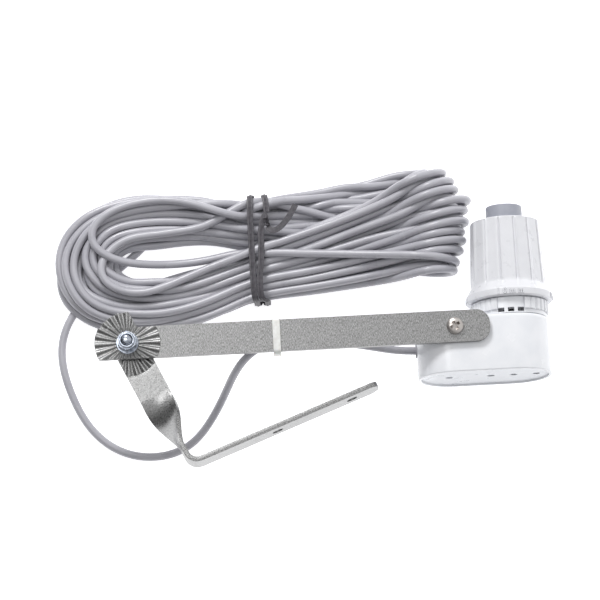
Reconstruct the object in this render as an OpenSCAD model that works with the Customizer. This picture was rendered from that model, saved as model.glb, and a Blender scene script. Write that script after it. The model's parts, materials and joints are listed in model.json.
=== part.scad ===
// Rain sensor on a two-piece swivel bracket, with its lead tied up in a hank.
// +Z is up from the surface that it lies on, +X runs along the arm to the head, +Y to the cap's top.
// The origin is under the middle of the sensor and bracket, on that surface. Millimetres.

/* [Bracket] */
// Width of both bracket strips
strip_w = 12.7; // [11:0.1:14]
// Thickness of both bracket strips
strip_t = 2; // [1.8:0.1:2.2]
// Distance from the knuckle to the screw that holds the head
arm_reach = 128.9; // [120:0.1:140]
// Length of the arm past the knuckle
arm_tail = 12.8; // [11:0.1:14]
// Length of the arm past the head screw
arm_nose = 13.75; // [12:0.05:15]
// Corner radius at the head end of the arm
nose_r = 5.5; // [3:0.1:6]
// Distance from the knuckle to the leg's bend
leg_reach = 54.6; // [50:0.1:60]
// Direction of the leg, below the arm
leg_angle = 65; // [50:0.1:80]
// Turn of the leg's bend
leg_bend = 85.6; // [75:0.1:95]
// Radius of the bend, at the middle of the strip
bend_r = 4.5; // [3:0.1:6]
// Length of the wall plate, from the bend's corner
plate_l = 79.2; // [70:0.1:90]
// Distance between the plate's two screw holes
hole_pitch = 31.75; // [25:0.05:35]
// Distance from the plate's end to its nearer hole
hole_edge = 11.3; // [8:0.1:15]
// Diameter of the plate's screw holes
hole_d = 4.4; // [3.5:0.1:5]
// Distance from the knuckle to the start of the leg's quarter twist
twist_start = 24; // [22:0.5:26]
// Distance from the knuckle to the end of the twist
twist_end = 46; // [42:0.5:46]
// Radius of the fluted knuckle faces
flute_r = 13; // [11:0.1:14]
// Number of flutes round the knuckle
flutes = 24; // [12:2:36]
// Depth of each flute
flute_depth = 0.3; // [0.1:0.05:0.4]

/* [Knuckle fasteners] */
// Diameter of the knuckle bolt
bolt_d = 4; // [3.5:0.1:4.5]
// Diameter of the bolt's head
bolt_head_d = 7.6; // [7:0.1:9]
// Height of the bolt's head
bolt_head_h = 2.6; // [2:0.1:3]
// Diameter of the washer
washer_d = 9; // [8:0.1:10]
// Thickness of the washer
washer_t = 0.8; // [0.5:0.1:1]
// Width of the lock nut across its flats
nut_af = 7; // [6:0.1:8]
// Height of the lock nut's hexagon
nut_h = 4.6; // [3.5:0.1:6]
// Height of the nut's round collar
nut_collar_h = 1.1; // [0.5:0.1:1.5]
// Length of bolt that shows past the nut
bolt_tip = 0.9; // [0.5:0.1:2]

/* [Housing] */
// Radius of the housing's round ends
housing_r = 15.35; // [15:0.05:16]
// Distance from the screw axis to the cap axis
head_pitch = 22.5; // [20:0.1:26]
// Top of the housing, above the arm's centre line
housing_top = 5; // [4.5:0.1:5.5]
// Bottom rim of the housing, below the arm's centre line
housing_drop = 17.8; // [17:0.1:19]
// Thickness of the housing's top wall
top_wall = 1.8; // [1.5:0.1:2.2]
// Thickness of the housing's side wall
side_wall = 2.75; // [2.5:0.05:3]
// Width of the ledge that the cover seal rests on
ledge_w = 1.4; // [1.2:0.1:1.5]
// Depth of the bottom cover below the rim
cover_recess = 0.7; // [0.3:0.1:1]
// Thickness of the bottom cover
cover_t = 2; // [1.5:0.1:2.2]
// Thickness of the cover seal
seal_t = 1; // [0.8:0.1:1.2]
// Diameter of the three drain holes in the bottom cover
drain_d = 3; // [2:0.1:3.5]
// Distance between the drain holes
drain_pitch = 9; // [7:0.5:9]

/* [Sensor base and vents] */
// Radius of the vented base
base_r = 14.6; // [14:0.1:15]
// Top of the vented base, above the arm's centre line
base_top = 11.4; // [11:0.1:11.5]
// Width of each vent slot
vent_w = 2.5; // [1.5:0.1:2.8]
// Height of each vent slot
vent_h = 1.7; // [1:0.1:2]
// Distance between vent slots
vent_pitch = 3.9; // [3.5:0.1:4.5]
// Outer radius of the vent ring
ring_r = 15.4; // [15.3:0.1:16]
// Bottom of the vent ring
ring_low = 6.5; // [6:0.1:7]
// Top of the vent ring
ring_high = 11.2; // [10.5:0.1:11.3]
// Opening of the vent ring
ring_gap = 42; // [30:1:60]
// Outer radius of the cage round the discs
cage_r = 11; // [10.9:0.05:11]
// Top of the cage
cage_top = 38; // [34:0.5:40]

/* [Cap and spindle] */
// Radius of the dial at the foot of the cap
dial_r = 17.4; // [17:0.1:18]
// Underside of the dial
dial_low = 11.6; // [11.5:0.05:11.7]
// Upper edge of the dial
dial_high = 14.8; // [14.5:0.1:15]
// Foot of the cap's barrel
barrel_low = 18.3; // [17.5:0.1:19]
// Radius of the barrel at its foot
barrel_r = 14.7; // [14.5:0.1:15]
// Radius of the barrel at its top
barrel_top_r = 13.56; // [13.4:0.02:14]
// Top of the cap, above the arm's centre line
cap_top = 44.5; // [44:0.1:46]
// Number of grip grooves round the cap
cap_grooves = 14; // [8:1:20]
// Radius of the test spindle's knob
knob_r = 7.2; // [6.5:0.1:7.2]
// Top of the test spindle
knob_top = 51; // [50:0.1:53]
// Radius of the moisture discs
disc_r = 9.3; // [8.5:0.1:9.4]
// Thickness of each moisture disc
disc_t = 2.9; // [2:0.1:2.9]

/* [Cable] */
// Diameter of the two-core lead
cable_d = 3.2; // [3:0.1:3.4]
// Height of the lead's entry, below the arm's centre line
entry_drop = 5.5; // [4:0.1:7]
// Distance from the knuckle to the tie that holds the lead to the arm
tie_reach = 58.7; // [50:0.1:70]
// Width of that tie
tie_w = 3.2; // [2.5:0.1:4]
// Thickness of that tie
tie_t = 1.1; // [0.8:0.1:1.3]

/* [Hidden] */
discs = 6;

$fn = 64;
fine = 160;
gap = 0.05;
joined = 0.2;
cut = 0.5;

// Plan positions, all from the arm's centre line and from the ends of the whole sensor.
half_length = (arm_tail + arm_reach + head_pitch + dial_r) / 2;
pivot_x = arm_tail - half_length;
screw_x = pivot_x + arm_reach;
cap_x = screw_x + head_pitch;
leg_dir = [cos(leg_angle), -sin(leg_angle)];
leg_side = [sin(leg_angle), cos(leg_angle)];
bend_tangent = bend_r * tan(leg_bend / 2);
bend_centre = (leg_reach - bend_tangent) * leg_dir + bend_r * leg_side;
lowest_y = bend_centre[1] - bend_r - strip_t / 2;
arm_y = -(knob_top + lowest_y) / 2;

// Heights above the surface.
head_z = dial_r;
arm_z = head_z + housing_r;
leg_z = arm_z - strip_t;
washer_z = arm_z + strip_t;
nut_z = washer_z + washer_t;

// Head screw.
screw_r = 1.3;
screw_head_r = 3.3;
screw_head_h = 2.2;
screw_dome_r = 5;
pilot_end = 9;

// Inside of the housing and base, as heights above the arm's centre line.
cavity_r = housing_r - side_wall;
cover_low = cover_recess - housing_drop;
seal_low = cover_low + cover_t;
ledge = seal_low + seal_t;
base_floor = 0.4;
spigot_r = 6.05;
spigot_low = 1.8;
cage_wall = 1.1;
cup_wall = 1.4;
window_w = 5;
window_h = 18;
running = 0.08;

// Spindle, from the knob down to the pin that reaches the switch.
knob_low = cage_top;
shaft_r = 2;
shaft_low = 10;
pin_r = 1.2;
pin_low = 0.15;
presser_low = 10.6;
presser_t = 1.6;
presser_r = 9.4;
disc_bore_r = 2.3;
hub_low = 30.2;
hub_wall = 1.8;
knob_clearance = 0.3;
collar_top = 15.2;
cap_inner_r = 12.3;
cap_top_wall = 1.6;

// Switch, measured from the cap's axis.
hinge_x = -12.9;
hinge_h = -3.9;
hinge_pin_r = 0.42;
eye_r = 0.8;
lever_rest = 14;
lever_l = 15;
lever_t = 0.4;
lever_w = 3.2;
switch_x = -14;
switch_l = 12.8;
switch_w = 5.8;
switch_low = -11.2;
switch_high = -4.7;
button_x = -8.7;
button_r = 0.8;
button_top = -3.55;
fixing_x = [-10.85, -4.35];
fixing_h = -8.9;
fixing_r = 1;
fixing_end = 8.5;
fixing_head_r = 1.9;
fixing_head_t = 1.3;
terminal_x = [-12.4, -7.6, -2.8];
terminal_low = -13.6;
terminal_t = 0.6;
terminal_w = 2.4;
solder_h = -12.4;

// Lead entry, measured from the cap's axis.
gland_out = -(head_pitch + housing_r + 0.4);
gland_in = -33.2;
gland_r = 3;
inner_end = -30.5;
wire_r = 0.6;
wire_run = 1.2;

// Route of the lead from its entry to the hank. Y is measured from the arm's centre line.
lead_points = [
    [cap_x + gland_out - gap, -entry_drop, head_z], [cap_x + gland_out - 2, -entry_drop, head_z],
    [30, -5.5, 17.5], [24, -4.5, 18.5], [14, -3, 22], [3, -2, 26.5], [-8, -1.5, 30], [-14, -1.5, 31],
    [-20, -1.5, 31], [-26, -3, 30.5], [-32, -6.5, 27], [-37, -11.5, 20], [-42, -19.5, 11],
    [-48, -28, 4.5], [-55, -35.5, 2], [-63, -39, 1.7], [-71, -40, 1.7], [-79, -38.8, 1.7],
    [-87.5, -34.8, 1.7], [-96, -26, 1.7], [-102, -13.5, 1.7], [-105.5, -0.5, 1.7], [-105.3, 9.5, 1.7],
    [-102, 17.5, 2], [-97, 23.5, 3]
];
lead_sides = 8;
lead_steps = 2;
tie_point = 8;

// Outline of the tied hank seen from above, from the arm's centre line, and its height.
hank_low_edge = [
    [-104, 20.5], [-96, 14.5], [-84, 11], [-66, 10], [-47, 12.5], [-28, 19], [6, 24.5], [33, 28.5],
    [52, 29.5], [57, 32.5]
];
hank_high_edge = [
    [57.5, 60.5], [53, 68.5], [44, 71], [16, 64.5], [-7, 61.5], [-26, 61.5], [-44, 63.5],
    [-67, 66.5], [-90, 61.5], [-103, 53.5], [-108, 44.5], [-108.5, 34.5]
];
hank_profile = [[-110, 0], [-110, 11], [-95, 14], [-20, 16], [20, 23], [40, 30], [60, 30], [60, 0]];
hank_tie_x = -28.6;
hank_tie_w = 5.2;
hank_tie_t = 1;
hank_waist = [20, 62];
hank_waist_h = 16.5;
hank_span = 80;
ends_at = [8, 42, 1.8];
ends_l = 14;
ends_bare = 7;

// The head's own frame: its axis is +Z there, and its front faces -Y.
module at_head() {
    translate([cap_x, arm_y, head_z]) rotate([-90, 0, 0]) children();
}

// A round-ended block that reaches from the screw axis to the cap axis.
module obround(r, low, high) {
    translate([0, 0, low]) cylinder(r = r, h = high - low, $fn = fine);
    translate([-head_pitch, 0, low]) cylinder(r = r, h = high - low, $fn = fine);
    translate([-head_pitch, -r, low]) cube([head_pitch, 2 * r, high - low]);
}

// A round bar across the head, along its Y axis.
module crossbar(r, x, h, y0, y1) {
    translate([x, y1, h]) rotate([90, 0, 0]) cylinder(r = r, h = y1 - y0);
}

// A strip of the arm's section, lying flat along +X.
module flat_strip(from, to) {
    translate([from, -strip_w / 2, 0]) cube([to - from, strip_w, strip_t]);
}

// Radial flutes for one face of the knuckle, cut down into z = 0.
module flute_cuts() {
    flute_w = 2 * PI * flute_r / flutes * 0.45;
    above = 0.01;
    rim = 0.3;
    for (i = [0:flutes - 1])
        rotate([0, 0, (i + 0.5) * 360 / flutes])
            translate([washer_d / 2 + rim, 0, 0])
                rotate([90, 0, 90])
                    linear_extrude(flute_r - washer_d / 2)
                        polygon([[-flute_w / 2, above], [flute_w / 2, above], [0, -flute_depth]]);
}

// Both knuckle faces, fluted, on a strip that lies on z = 0.
module knuckle_flutes() {
    translate([0, 0, strip_t]) flute_cuts();
    mirror([0, 0, 1]) flute_cuts();
}

// A point on the smooth curve from b to c, where a and d are the points before and after them.
function curve_point(a, b, c, d, t) =
    0.5 * (2 * b + t * (c - a) + t * t * (2 * a - 5 * b + 4 * c - d)
        + t * t * t * (3 * b - a - 3 * c + d));

// A route's points with steps more between each two of them.
function smooth_route(p, steps) = concat(
    [for (i = [0:len(p) - 2])
        for (k = [0:steps - 1])
            curve_point(p[max(i - 1, 0)], p[i], p[i + 1], p[min(i + 2, len(p) - 1)], k / steps)],
    [p[len(p) - 1]]
);

function unit(v) = v / norm(v);

// The direction of a route at its point i.
function heading(p, i) = unit(p[min(i + 1, len(p) - 1)] - p[max(i - 1, 0)]);

// A direction that no route runs along.
near_up = [0, 0.02, 1];

// A ring of points round a route's point i.
function ring_at(p, i, r, sides) =
    let (t = heading(p, i), side = unit(cross(t, near_up)), up = cross(side, t))
        [for (k = [0:sides - 1]) p[i] + r * (cos(k * 360 / sides) * side + sin(k * 360 / sides) * up)];

// A round tube with closed ends that follows a route.
module swept_tube(p, r, sides) {
    last = len(p) - 1;
    rings = [for (i = [0:last]) for (q = ring_at(p, i, r, sides)) q];
    walls = [
        for (i = [0:last - 1])
            for (k = [0:sides - 1])
                let (n = (k + 1) % sides, a = i * sides, b = a + sides)
                    each [[a + k, a + n, b + n], [a + k, b + n, b + k]]
    ];
    front = [for (k = [0:sides - 1]) sides - 1 - k];
    back = [for (k = [0:sides - 1]) last * sides + k];
    polyhedron(rings, concat([front, back], walls), convexity = 6);
}

module leg_flat() {
    difference() {
        intersection() {
            flat_strip(-flute_r, twist_start + joined);
            union() {
                cylinder(r = flute_r, h = strip_t, $fn = fine);
                flat_strip(0, twist_start + joined);
            }
        }
        translate([0, 0, -cut]) cylinder(r = bolt_d / 2 + running, h = strip_t + 2 * cut);
        knuckle_flutes();
    }
}

module leg_twist() {
    translate([twist_start, 0, strip_t / 2])
        rotate([90, 0, 90])
            linear_extrude(twist_end - twist_start, twist = -90, slices = 22, segments = 8)
                square([strip_w, strip_t], center = true);
}

// The on-edge length of the leg seen from above: the end of the twist, the bend and the wall plate.
module leg_outline() {
    half = strip_t / 2;
    bend_steps = 16;
    corner = [leg_reach - bend_tangent, bend_r];
    plate_dir = [cos(leg_bend), sin(leg_bend)];
    plate_side = [-sin(leg_bend), cos(leg_bend)];
    plate_end = [leg_reach, 0] + plate_l * plate_dir;
    function arc(r, k) = corner + r * [sin(k * leg_bend / bend_steps), -cos(k * leg_bend / bend_steps)];
    polygon(concat(
        [[twist_end - joined, half], [twist_end - joined, -half]],
        [for (k = [0:bend_steps]) arc(bend_r + half, k)],
        [plate_end - half * plate_side, plate_end + half * plate_side],
        [for (k = [bend_steps:-1:0]) arc(bend_r - half, k)]
    ));
}

// What is cut from the wall plate: its end's corners and its screw holes.
module plate_cuts() {
    end_r = strip_w / 2;
    translate([leg_reach, 0, strip_t / 2])
        rotate([90, 0, leg_bend]) {
            difference() {
                translate([plate_l - end_r, -strip_w, -strip_t]) cube([strip_w, 2 * strip_w, 2 * strip_t]);
                translate([plate_l - end_r, 0, -2 * strip_t])
                    cylinder(r = end_r, h = 4 * strip_t, $fn = fine);
            }
            for (s = [0, hole_pitch])
                translate([plate_l - hole_edge - s, 0, -strip_t]) cylinder(d = hole_d, h = 2 * strip_t);
        }
}

module bracket_leg() {
    color("silver")
        translate([pivot_x, arm_y, leg_z])
            rotate([0, 0, -leg_angle]) {
                leg_flat();
                leg_twist();
                difference() {
                    translate([0, 0, (strip_t - strip_w) / 2]) linear_extrude(strip_w) leg_outline();
                    plate_cuts();
                }
            }
}

module arm() {
    end = arm_reach + arm_nose;
    corner = strip_w / 2 - nose_r;
    color("darkgray")
        translate([pivot_x, arm_y, arm_z])
            difference() {
                union() {
                    intersection() {
                        flat_strip(-arm_tail, 0);
                        cylinder(r = arm_tail, h = strip_t, $fn = fine);
                    }
                    flat_strip(0, end - nose_r);
                    translate([end - nose_r, -corner, 0]) cube([nose_r, 2 * corner, strip_t]);
                    for (side = [-1, 1])
                        translate([end - nose_r, side * corner, 0])
                            cylinder(r = nose_r, h = strip_t);
                }
                translate([0, 0, -cut]) cylinder(r = bolt_d / 2 + running, h = strip_t + 2 * cut);
                translate([arm_reach, 0, -cut]) cylinder(r = screw_r + 0.2, h = strip_t + 2 * cut);
                knuckle_flutes();
            }
}

module knuckle_bolt() {
    top = nut_z + nut_h + nut_collar_h + bolt_tip;
    color("gainsboro")
        translate([pivot_x, arm_y, leg_z - bolt_head_h])
            difference() {
                union() {
                    cylinder(d = bolt_head_d, h = bolt_head_h);
                    cylinder(d = bolt_d, h = top - leg_z + bolt_head_h);
                }
                screw_cross(-cut, bolt_head_h / 2 + cut, bolt_head_d);
            }
}

module knuckle_washer() {
    color("silver")
        translate([pivot_x, arm_y, washer_z])
            difference() {
                cylinder(d = washer_d, h = washer_t);
                translate([0, 0, -cut]) cylinder(r = bolt_d / 2 + gap, h = washer_t + 2 * cut);
            }
}

module knuckle_nut() {
    color("lightsteelblue")
        translate([pivot_x, arm_y, nut_z])
            difference() {
                union() {
                    cylinder(d = nut_af / cos(30), h = nut_h, $fn = 6);
                    cylinder(d = nut_af - 0.4, h = nut_h + nut_collar_h);
                }
                translate([0, 0, -cut]) cylinder(d = bolt_d, h = nut_h + nut_collar_h + 2 * cut);
            }
}

// A cross recess for a screw head of diameter d, cut from z = low upward.
module screw_cross(low, depth, d) {
    slot_w = d * 0.14;
    slot_l = d * 0.6;
    for (turn = [0, 90])
        rotate([0, 0, turn])
            translate([-slot_l / 2, -slot_w / 2, low]) cube([slot_l, slot_w, depth]);
}

module arm_screw() {
    color("antiquewhite")
        translate([screw_x, arm_y, arm_z + strip_t])
            difference() {
                union() {
                    intersection() {
                        cylinder(r = screw_head_r, h = screw_head_h);
                        translate([0, 0, screw_head_h - screw_dome_r]) sphere(r = screw_dome_r);
                    }
                    translate([0, 0, -strip_t - pilot_end])
                        cylinder(r = screw_r, h = strip_t + pilot_end + 1);
                }
                screw_cross(screw_head_h / 2, screw_head_h, 2 * screw_head_r);
            }
}

// A band round the arm and the lead beneath it.
module arm_tie() {
    low = lead_points[tie_point][2] - cable_d / 2 - gap;
    inner_w = strip_w + 2 * gap;
    color("white")
        translate([pivot_x + tie_reach - tie_w / 2, arm_y, 0])
            difference() {
                translate([0, -inner_w / 2 - tie_t, low - tie_t])
                    cube([tie_w, inner_w + 2 * tie_t, washer_z + 2 * tie_t - low]);
                translate([-cut, -inner_w / 2, low])
                    cube([tie_w + 2 * cut, inner_w, washer_z - low]);
            }
}

module housing() {
    post_r = 2;
    post_bore = 9;
    boss_r = 3.6;
    boss_end = 5;
    color("white")
        at_head() difference() {
            union() {
                difference() {
                    obround(housing_r, -housing_drop, housing_top);
                    obround(cavity_r, ledge, housing_top - top_wall);
                }
                crossbar(boss_r, -head_pitch, 0, -cavity_r - cut, -boss_end);
                for (x = fixing_x)
                    crossbar(post_r, x, fixing_h, switch_w / 2 + gap, cavity_r + cut);
            }
            obround(cavity_r + ledge_w, -housing_drop - cut, ledge);
            obround(cavity_r, ledge - cut, ledge + cut);
            translate([0, 0, spigot_low]) cylinder(r = spigot_r + gap, h = housing_top);
            crossbar(screw_r, -head_pitch, 0, -housing_r - cut, -housing_r + pilot_end);
            for (x = fixing_x) crossbar(fixing_r, x, fixing_h, 0, post_bore);
            translate([gland_out - cut, 0, -entry_drop])
                rotate([0, 90, 0]) cylinder(r = gland_r, h = gland_in - gland_out);
        }
}

module bottom_cover() {
    dimple_depth = 0.6;
    color("whitesmoke")
        at_head() difference() {
            obround(cavity_r + ledge_w - gap, cover_low, seal_low);
            for (i = [-1:1])
                translate([i * drain_pitch, 0, cover_low - cut])
                    cylinder(d = drain_d, h = cover_t + 2 * cut);
            translate([-head_pitch - drain_d, 0, cover_low - cut])
                cylinder(d = drain_d, h = dimple_depth + cut);
        }
}

module cover_seal() {
    color("dimgray")
        at_head() difference() {
            obround(cavity_r + ledge_w - gap, seal_low, ledge);
            obround(cavity_r, seal_low - cut, ledge + cut);
        }
}

module sensor_base() {
    floor_top = housing_top + base_floor;
    boss_r = 3.4;
    boss_top = 7;
    color("white")
        at_head() difference() {
            union() {
                difference() {
                    translate([0, 0, housing_top])
                        cylinder(r = base_r, h = base_top - housing_top, $fn = fine);
                    translate([0, 0, floor_top])
                        cylinder(r = base_r - cup_wall, h = base_top, $fn = fine);
                }
                translate([0, 0, spigot_low])
                    cylinder(r = spigot_r, h = floor_top - spigot_low);
                cylinder(r = boss_r, h = boss_top);
                difference() {
                    translate([0, 0, housing_top]) cylinder(r = cage_r, h = cage_top - housing_top);
                    translate([0, 0, floor_top]) cylinder(r = cage_r - cage_wall, h = cage_top);
                    for (turn = [0:60:120])
                        rotate([0, 0, turn])
                            translate([-cage_r - cut, -window_w / 2, collar_top + 1])
                                cube([2 * cage_r + 2 * cut, window_w, window_h]);
                }
            }
            translate([0, 0, -cut]) cylinder(r = pin_r + running, h = boss_top + 2 * cut);
            translate([0, 0, -cut]) cylinder(r = base_r, h = spigot_low + cut);
            for (i = [-1:1])
                translate([i * vent_pitch - vent_w / 2, -base_r - cut, floor_top])
                    cube([vent_w, base_r - cage_r + cage_wall + 2 * cut, vent_h]);
        }
}

module vent_ring() {
    color("white")
        at_head() rotate([0, 0, ring_gap / 2 - 90])
            rotate_extrude(angle = 360 - ring_gap, $fn = fine)
                translate([base_r + running, ring_low])
                    square([ring_r - base_r - running, ring_high - ring_low]);
}

module cap() {
    hub_r = knob_r + knob_clearance;
    groove_r = 0.45;
    taper = atan((barrel_r - barrel_top_r) / (cap_top - barrel_low));
    edge = 0.45;
    color("lightgray")
        at_head() difference() {
            rotate_extrude($fn = fine) polygon([
                [cage_r + running, dial_low], [dial_r - edge, dial_low], [dial_r, dial_low + edge],
                [dial_r, dial_high - edge], [dial_r - edge, dial_high], [barrel_r, barrel_low],
                [barrel_top_r, cap_top - edge], [barrel_top_r - edge, cap_top], [hub_r, cap_top],
                [hub_r, hub_low], [hub_r + hub_wall, hub_low],
                [hub_r + hub_wall, cap_top - cap_top_wall], [cap_inner_r, cap_top - cap_top_wall],
                [cap_inner_r, collar_top], [cage_r + running, collar_top]
            ]);
            for (i = [0:cap_grooves - 1])
                rotate([0, 0, (i + 0.5) * 360 / cap_grooves])
                    translate([barrel_r + groove_r / 3, 0, barrel_low + 1])
                        rotate([0, -taper, 0]) cylinder(r = groove_r, h = cap_top, $fn = 16);
        }
}

module test_spindle() {
    color("whitesmoke")
        at_head() {
            edge = 0.6;
            rotate_extrude($fn = fine) polygon([
                [0, pin_low], [pin_r, pin_low], [pin_r, shaft_low], [shaft_r, shaft_low],
                [shaft_r, knob_low], [knob_r, knob_low], [knob_r, knob_top - edge],
                [knob_r - edge, knob_top], [0, knob_top]
            ]);
        }
}

// A flat ring round the head's axis.
module ring(r, bore_r, low, high) {
    translate([0, 0, low])
        difference() {
            cylinder(r = r, h = high - low);
            translate([0, 0, -cut]) cylinder(r = bore_r, h = high - low + 2 * cut);
        }
}

module spindle_presser() {
    color("white") at_head() ring(presser_r, shaft_r + gap, presser_low, presser_low + presser_t);
}

module moisture_disc(i) {
    low = presser_low + presser_t + (i - 1) * disc_t;
    color("tan") at_head() ring(disc_r, disc_bore_r, low, low + disc_t);
}

// A round-wire spring between the base's floor and the presser.
module return_spring() {
    coil_r = 6.6;
    spring_wire_r = 0.4;
    turns = 3;
    per_turn = 12;
    low = housing_top + base_floor + spring_wire_r + gap;
    high = presser_low - spring_wire_r - gap;
    helix = [
        for (k = [0:turns * per_turn])
            let (a = k * 360 / per_turn)
                [coil_r * cos(a), coil_r * sin(a), low + (high - low) * k / (turns * per_turn)]
    ];
    color("silver") at_head() swept_tube(helix, spring_wire_r, 6);
}

module switch_body() {
    ear_w = 0.6;
    ear_y = lever_w / 2 + 0.25;
    ear_root = 0.2;
    button_well = 3;
    color("black")
        at_head() {
            difference() {
                translate([switch_x, -switch_w / 2, switch_low])
                    cube([switch_l, switch_w, switch_high - switch_low]);
                for (x = fixing_x) crossbar(fixing_r + gap, x, fixing_h, -switch_w, switch_w);
                translate([button_x, 0, switch_high - button_well])
                    cylinder(r = button_r + running, h = button_well + cut);
            }
            for (side = [-1, 1])
                translate([hinge_x - eye_r, side * (ear_y + ear_w / 2) - ear_w / 2, switch_high - ear_root])
                    cube([2 * eye_r, ear_w, hinge_h + eye_r - switch_high + ear_root]);
            crossbar(hinge_pin_r, hinge_x, hinge_h, -ear_y, ear_y);
        }
}

module switch_lever() {
    color("silver")
        at_head() translate([hinge_x, 0, hinge_h])
            difference() {
                union() {
                    crossbar(eye_r, 0, 0, -lever_w / 2, lever_w / 2);
                    rotate([0, -lever_rest, 0])
                        translate([0, -lever_w / 2, -lever_t / 2]) cube([lever_l, lever_w, lever_t]);
                }
                crossbar(hinge_pin_r + running, 0, 0, -lever_w, lever_w);
            }
}

module switch_button() {
    stem_l = 1.6;
    color("firebrick")
        at_head() translate([button_x, 0, switch_high - stem_l])
            cylinder(r = button_r, h = button_top - switch_high + stem_l);
}

module switch_terminals() {
    color("goldenrod")
        at_head() for (x = terminal_x)
            translate([x - terminal_t / 2, -terminal_w / 2, terminal_low])
                cube([terminal_t, terminal_w, switch_low - terminal_low]);
}

module switch_screws() {
    color("silver")
        at_head() for (x = fixing_x) {
            crossbar(fixing_head_r, x, fixing_h, -switch_w / 2 - fixing_head_t, -switch_w / 2);
            crossbar(fixing_r, x, fixing_h, -switch_w / 2 - gap, fixing_end);
        }
}

module cable_gland() {
    lip_r = 3.8;
    lip_x = -34.4;
    color("gray")
        at_head() translate([0, 0, -entry_drop]) rotate([0, 90, 0]) difference() {
            union() {
                translate([0, 0, gland_out]) cylinder(r = gland_r - gap, h = gland_in - gland_out);
                translate([0, 0, lip_x]) cylinder(r = lip_r, h = gland_in - lip_x);
            }
            translate([0, 0, gland_out - cut]) cylinder(d = cable_d, h = gland_in - gland_out + 2 * cut);
        }
}

// The jacketed end of the lead, inside the housing.
module cable_inner() {
    color("gray")
        at_head() translate([gland_out, 0, -entry_drop])
            rotate([0, 90, 0]) cylinder(d = cable_d, h = inner_end - gland_out);
}

// One insulated core of the lead, inside the housing.
module core_wire(route, tint) {
    color(tint) at_head() swept_tube(smooth_route(route, 4), wire_r, lead_sides);
}

module wire_common() {
    core_wire([
        [inner_end + gap, -0.7, -entry_drop], [inner_end + wire_run, -0.7, -entry_drop],
        [-26, -1, -6.5], [-22, -1.5, -9], [-18, -1, -11.5], [-15, 0, solder_h],
        [terminal_x[0] - terminal_t / 2 - wire_run, 0, solder_h],
        [terminal_x[0] - terminal_t / 2 - gap, 0, solder_h]
    ], "black");
}

module wire_closed() {
    core_wire([
        [inner_end + 2 * gap, 0.7, -entry_drop], [inner_end + wire_run, 0.7, -entry_drop],
        [-26, 2, -6.8], [-21, 4.2, -10], [-14, 4.9, solder_h], [-9.5, 4.4, solder_h],
        [terminal_x[1], terminal_w / 2 + wire_run, solder_h],
        [terminal_x[1], terminal_w / 2 + gap, solder_h]
    ], "white");
}

module cable_lead() {
    color("gray")
        translate([0, arm_y, 0])
            swept_tube(smooth_route(lead_points, lead_steps), cable_d / 2, lead_sides);
}

// The hank's outer shape inside its outline and under its height profile.
module hank_body() {
    intersection() {
        linear_extrude(hank_span) polygon(concat(hank_low_edge, hank_high_edge));
        translate([0, hank_span, 0]) rotate([90, 0, 0]) linear_extrude(hank_span) polygon(hank_profile);
    }
}

// A slab across the hank at its tie.
module tie_slab(margin) {
    translate([hank_tie_x, hank_waist[0] + margin, margin])
        cube([hank_tie_w, hank_waist[1] - hank_waist[0] - 2 * margin, hank_waist_h - 2 * margin]);
}

module cable_hank() {
    color("gray") translate([0, arm_y, 0]) {
        difference() {
            hank_body();
            translate([hank_tie_x, 0, -cut]) cube([hank_tie_w, hank_span, hank_span]);
        }
        tie_slab(hank_tie_t);
    }
}

module hank_tie() {
    color("dimgray")
        translate([0, arm_y, 0]) difference() {
            tie_slab(0);
            translate([hank_tie_x - cut, hank_waist[0] + hank_tie_t, hank_tie_t])
                cube([
                    hank_tie_w + 2 * cut, hank_waist[1] - hank_waist[0] - 2 * hank_tie_t,
                    hank_waist_h - 2 * hank_tie_t
                ]);
        }
}

// The two stripped cores at the lead's far end.
module cable_ends() {
    core_r = 0.7;
    copper_r = 0.4;
    color("peru")
        translate([0, arm_y, 0] + ends_at) rotate([0, 90, 0])
            for (side = [-1, 1])
                translate([0, side * (core_r + gap), 0]) {
                    cylinder(r = core_r, h = ends_l - ends_bare);
                    cylinder(r = copper_r, h = ends_l);
                }
}

bracket_leg();
arm();
knuckle_bolt();
knuckle_washer();
knuckle_nut();
arm_screw();
arm_tie();
housing();
bottom_cover();
cover_seal();
sensor_base();
vent_ring();
cap();
test_spindle();
spindle_presser();
return_spring();
moisture_disc(1);  // moisture_disc_1
moisture_disc(2);  // moisture_disc_2
moisture_disc(3);  // moisture_disc_3
moisture_disc(4);  // moisture_disc_4
moisture_disc(5);  // moisture_disc_5
moisture_disc(6);  // moisture_disc_6
switch_body();
switch_lever();
switch_button();
switch_terminals();
switch_screws();
cable_gland();
cable_inner();
wire_common();
wire_closed();
cable_lead();
cable_hank();
hank_tie();
cable_ends();
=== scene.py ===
import json
import random
from math import asin, copysign, cos, exp, pi, radians, sin, sqrt, tan

import bmesh
import bpy
import numpy as np
from mathutils import Matrix, Vector


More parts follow.
